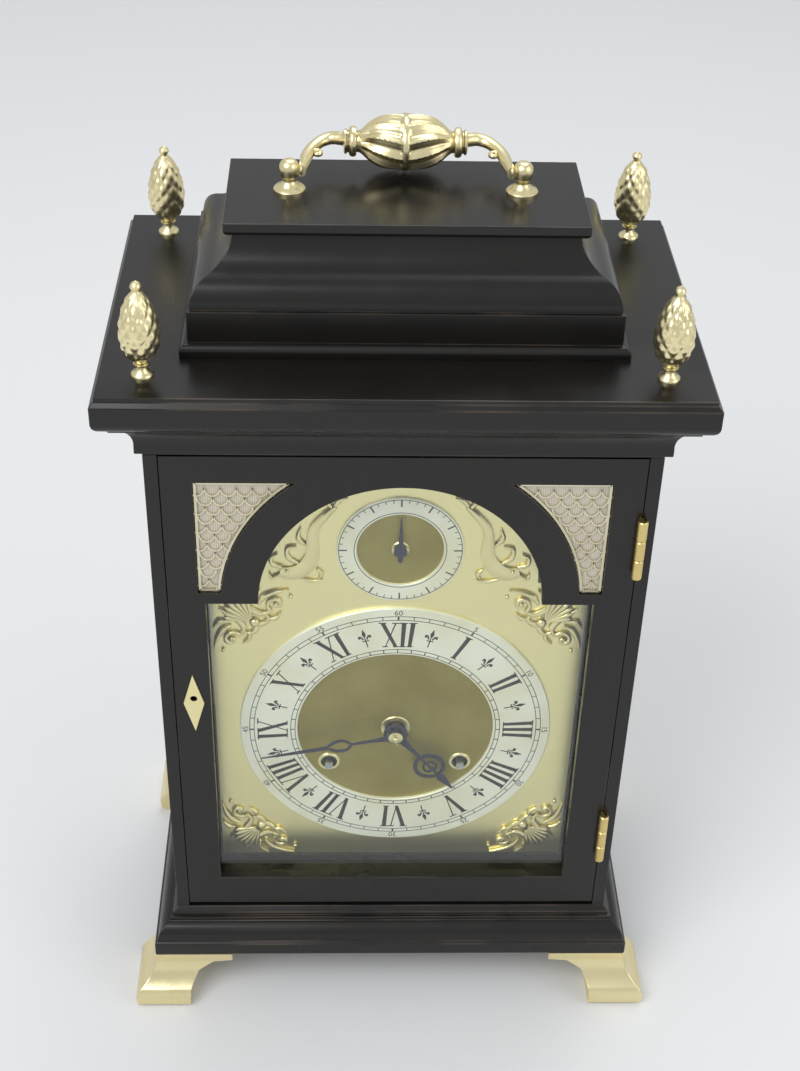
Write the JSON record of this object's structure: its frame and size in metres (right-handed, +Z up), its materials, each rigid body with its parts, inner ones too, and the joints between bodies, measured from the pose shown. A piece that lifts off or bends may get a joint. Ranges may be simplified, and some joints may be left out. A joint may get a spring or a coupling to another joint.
{
  "type": "bracket clock",
  "caption": "Ebonised bracket clock with an inverted bell top, folding handle, glazed doors, break-arch dial and a pendulum movement that strikes a bell.",
  "frame": {"origin": "on the floor under the middle of the case", "axes": "+X to the viewer's right, +Y from the dial to the back, +Z up"},
  "size_m": [0.2704, 0.1814, 0.4571],
  "materials": {
    "ebonised_wood": "polished",
    "oak": "plain",
    "glass": "clear",
    "steel": "satin",
    "blued_steel": "blued",
    "silvered_brass": "silvered",
    "lacquered_brass": "polished",
    "brass": "satin"
  },
  "bodies": {
    "case": {"base_moulding": "ebonised_wood", "floor_board": "oak", "feet": "lacquered_brass", "side_panel_left": "ebonised_wood", "side_panel_right": "ebonised_wood", "side_frets": "lacquered_brass", "cornice": "ebonised_wood", "bell_top": "ebonised_wood", "cap": "ebonised_wood", "finials": "lacquered_brass", "handle_posts": "lacquered_brass", "seat_cheeks": "oak", "seat_board": "oak", "seat_bolts": "steel", "dial_mask": "ebonised_wood", "hinge_case_leaves": "brass", "dial_plate": "brass", "chapter_ring": "silvered_brass", "corner_spandrels": "lacquered_brass", "arch_spandrels": "lacquered_brass", "strike_silent_ring": "silvered_brass", "front_plate": "brass", "back_plate": "brass", "pillars": "brass", "back_cock": "brass", "bell": "brass", "bell_stand": "steel"},
    "front_door": {"front_door": "ebonised_wood", "front_door_glass": "glass", "door_frets": "lacquered_brass", "escutcheon": "lacquered_brass", "front_lock": "brass", "front_hinge_leaves": "brass"},
    "front_lock_bolt": {"front_lock_bolt": "steel"},
    "back_door": {"back_door": "ebonised_wood", "back_door_glass": "glass", "back_hinge_leaves": "brass"},
    "back_catch": {"back_catch": "brass"},
    "handle": {"handle": "lacquered_brass"},
    "centre_arbor": {"centre_wheel": "brass", "cannon_pinion": "brass", "minute_hand": "blued_steel"},
    "hour_wheel": {"hour_wheel": "brass", "hour_hand": "blued_steel"},
    "minute_wheel": {"minute_wheel": "brass"},
    "going_barrel": {"going_barrel": "brass"},
    "third_wheel": {"third_wheel": "brass"},
    "escape_wheel": {"escape_wheel": "brass"},
    "pallets": {"pallets": "steel"},
    "pendulum": {"pendulum": "brass"},
    "strike_barrel": {"strike_barrel": "brass"},
    "pin_wheel": {"pin_wheel": "brass"},
    "warning_wheel": {"warning_wheel": "brass"},
    "fly": {"fly": "steel"},
    "hammer": {"hammer": "steel"},
    "strike_silent_hand": {"strike_silent_hand": "blued_steel"},
    "going_winding_arbor": {"going_winding_arbor": "steel"},
    "strike_winding_arbor": {"strike_winding_arbor": "steel"},
    "going_click": {"going_click": "steel"},
    "strike_click": {"strike_click": "steel"}
  },
  "joints": [
    {"name": "front_door_hinge", "type": "hinge", "parent": "case", "child": "front_door", "pos_m": [0.10615, -0.0707, 0.2], "axis": [0, 0, 1], "range_deg": [0, 110]},
    {"name": "front_lock_slide", "type": "slide", "parent": "front_door", "child": "front_lock_bolt", "axis": [-1, 0, 0], "range_m": [0, 0.0045]},
    {"name": "back_door_hinge", "type": "hinge", "parent": "case", "child": "back_door", "pos_m": [0.10615, 0.0707, 0.2], "axis": [0, 0, 1], "range_deg": [-110, 0]},
    {"name": "back_catch_turn", "type": "hinge", "parent": "case", "child": "back_catch", "pos_m": [-0.1094, 0.0697, 0.196], "axis": [0, 1, 0], "range_deg": [-90, 0]},
    {"name": "handle_fold", "type": "hinge", "parent": "case", "child": "handle", "pos_m": [0, 0, 0.441], "axis": [1, 0, 0], "range_deg": [0, 158]},
    {"name": "minute_hand_turn", "type": "hinge", "parent": "case", "child": "centre_arbor", "pos_m": [0, 0, 0.166], "axis": [0, 1, 0], "continuous": true},
    {"name": "hour_hand_turn", "type": "hinge", "parent": "case", "child": "hour_wheel", "pos_m": [0, 0, 0.166], "axis": [0, 1, 0], "continuous": true},
    {"name": "minute_wheel_turn", "type": "hinge", "parent": "case", "child": "minute_wheel", "pos_m": [0, 0, 0.15], "axis": [0, 1, 0], "continuous": true},
    {"name": "going_barrel_turn", "type": "hinge", "parent": "case", "child": "going_barrel", "pos_m": [0.033, 0, 0.143], "axis": [0, 1, 0], "continuous": true},
    {"name": "third_wheel_turn", "type": "hinge", "parent": "case", "child": "third_wheel", "pos_m": [0.0081, 0, 0.19207], "axis": [0, 1, 0], "continuous": true},
    {"name": "escape_wheel_turn", "type": "hinge", "parent": "case", "child": "escape_wheel", "pos_m": [0, 0, 0.213], "axis": [0, 1, 0], "continuous": true},
    {"name": "pallet_rock", "type": "hinge", "parent": "case", "child": "pallets", "pos_m": [0, 0, 0.232], "axis": [0, 1, 0], "range_deg": [-2.5, 2.5]},
    {"name": "pendulum_swing", "type": "hinge", "parent": "case", "child": "pendulum", "pos_m": [0, 0, 0.232], "axis": [0, 1, 0], "range_deg": [-2.5, 2.5]},
    {"name": "strike_barrel_turn", "type": "hinge", "parent": "case", "child": "strike_barrel", "pos_m": [-0.033, 0, 0.143], "axis": [0, 1, 0], "continuous": true},
    {"name": "pin_wheel_turn", "type": "hinge", "parent": "case", "child": "pin_wheel", "pos_m": [-0.03611, 0, 0.1785], "axis": [0, 1, 0], "continuous": true},
    {"name": "warning_wheel_turn", "type": "hinge", "parent": "case", "child": "warning_wheel", "pos_m": [-0.02585, 0, 0.19628], "axis": [0, 1, 0], "continuous": true},
    {"name": "fly_turn", "type": "hinge", "parent": "case", "child": "fly", "pos_m": [-0.02199, 0, 0.21065], "axis": [0, 1, 0], "continuous": true},
    {"name": "hammer_lift", "type": "hinge", "parent": "case", "child": "hammer", "pos_m": [-0.062, 0, 0.212], "axis": [0, 1, 0], "range_deg": [-8, 0]},
    {"name": "strike_silent_turn", "type": "hinge", "parent": "case", "child": "strike_silent_hand", "pos_m": [0, -0.05, 0.277], "axis": [0, 1, 0], "range_deg": [0, 90]},
    {"name": "going_winding_turn", "type": "hinge", "parent": "case", "child": "going_winding_arbor", "pos_m": [0.033, 0, 0.143], "axis": [0, 1, 0], "continuous": true},
    {"name": "strike_winding_turn", "type": "hinge", "parent": "case", "child": "strike_winding_arbor", "pos_m": [-0.033, 0, 0.143], "axis": [0, 1, 0], "continuous": true},
    {"name": "going_click_lift", "type": "hinge", "parent": "case", "child": "going_click", "pos_m": [0.04783, -0.036, 0.14899], "axis": [0, 1, 0], "range_deg": [0, 18]},
    {"name": "strike_click_lift", "type": "hinge", "parent": "case", "child": "strike_click", "pos_m": [-0.01817, -0.036, 0.14899], "axis": [0, 1, 0], "range_deg": [0, 18]}
  ],
  "couplings": [
    {"joint": "hour_hand_turn", "follows": "minute_hand_turn", "ratio": 0.083333},
    {"joint": "minute_wheel_turn", "follows": "minute_hand_turn", "ratio": -0.33333},
    {"joint": "going_barrel_turn", "follows": "minute_hand_turn", "ratio": -0.083333},
    {"joint": "third_wheel_turn", "follows": "minute_hand_turn", "ratio": -12},
    {"joint": "escape_wheel_turn", "follows": "minute_hand_turn", "ratio": 120},
    {"joint": "pallet_rock", "follows": "pendulum_swing", "ratio": 1},
    {"joint": "pin_wheel_turn", "follows": "strike_barrel_turn", "ratio": -10},
    {"joint": "warning_wheel_turn", "follows": "strike_barrel_turn", "ratio": 80},
    {"joint": "fly_turn", "follows": "strike_barrel_turn", "ratio": -480}
  ]
}
